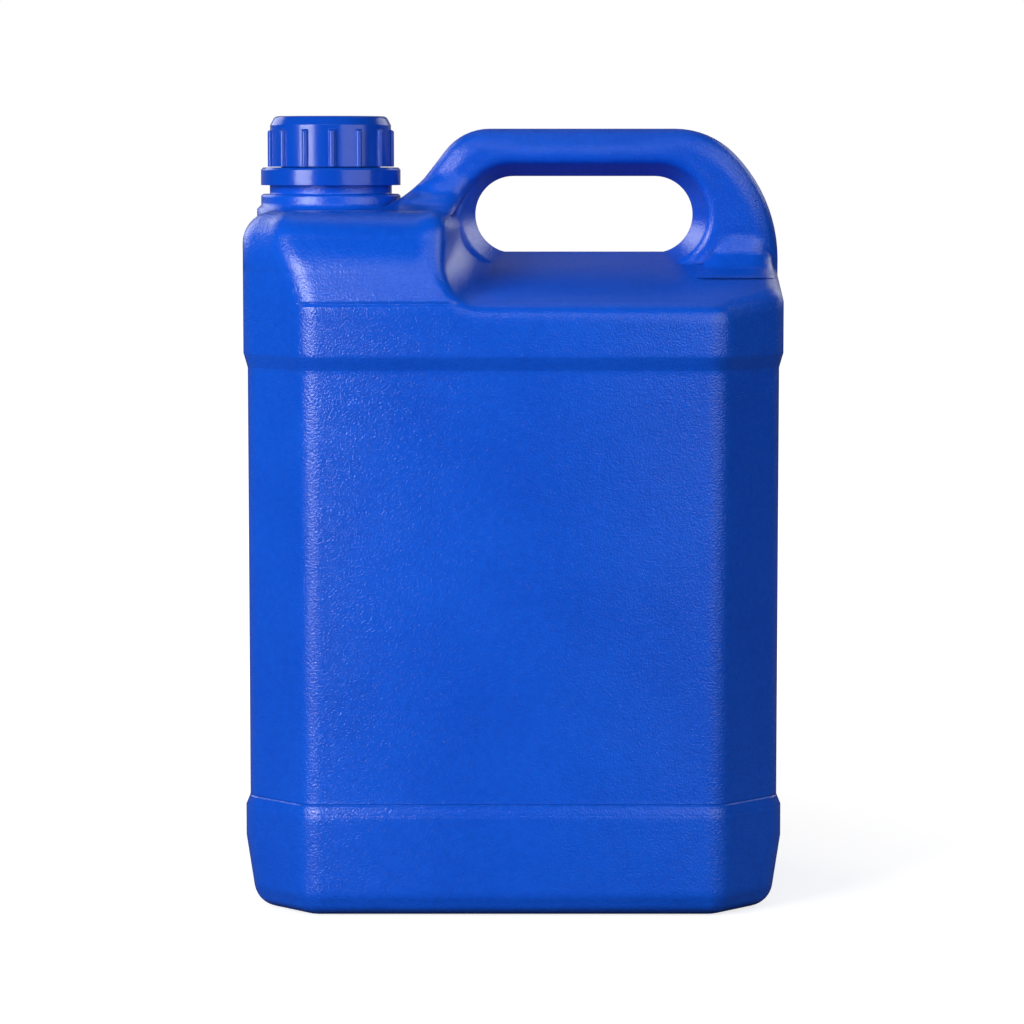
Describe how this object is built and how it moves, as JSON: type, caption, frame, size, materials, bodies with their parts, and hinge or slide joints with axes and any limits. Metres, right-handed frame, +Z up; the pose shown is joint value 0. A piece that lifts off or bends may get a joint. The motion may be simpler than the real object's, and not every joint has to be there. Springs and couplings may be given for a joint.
{
  "type": "screw-cap oil jug",
  "caption": "Blue moulded plastic jug with an integral carrying handle and a ribbed screw cap, for storing and pouring cutting oil.",
  "frame": {"origin": "middle of the jug's outline at the level of its foot rim", "axes": "+Z up, +X from the neck towards the carrying handle, +Y from the front to the back"},
  "size_m": [0.19, 0.14, 0.2795],
  "materials": {
    "body_plastic": "satin HDPE, blue, fine grain on the panels",
    "cap_plastic": "smooth moulded plastic, blue",
    "liner_foam": "soft white foamed polyethylene wad"
  },
  "bodies": {
    "bottle": {"bottle": "body_plastic", "tamper_ring": "cap_plastic"},
    "liner": {"cap_liner": "liner_foam"},
    "cap": {"cap": "cap_plastic"}
  },
  "joints": [
    {"name": "cap_lift", "type": "slide", "parent": "bottle", "child": "liner", "axis": [0, 0, 1], "range_m": [0, 0.0252]},
    {"name": "cap_turn", "type": "hinge", "parent": "liner", "child": "cap", "pos_m": [-0.066, 0, 0.27], "axis": [0, 0, 1], "range_deg": [0, 2160]}
  ],
  "couplings": [
    {"joint": "cap_lift", "follows": "cap_turn", "m_per_rad": 0.00066845}
  ]
}
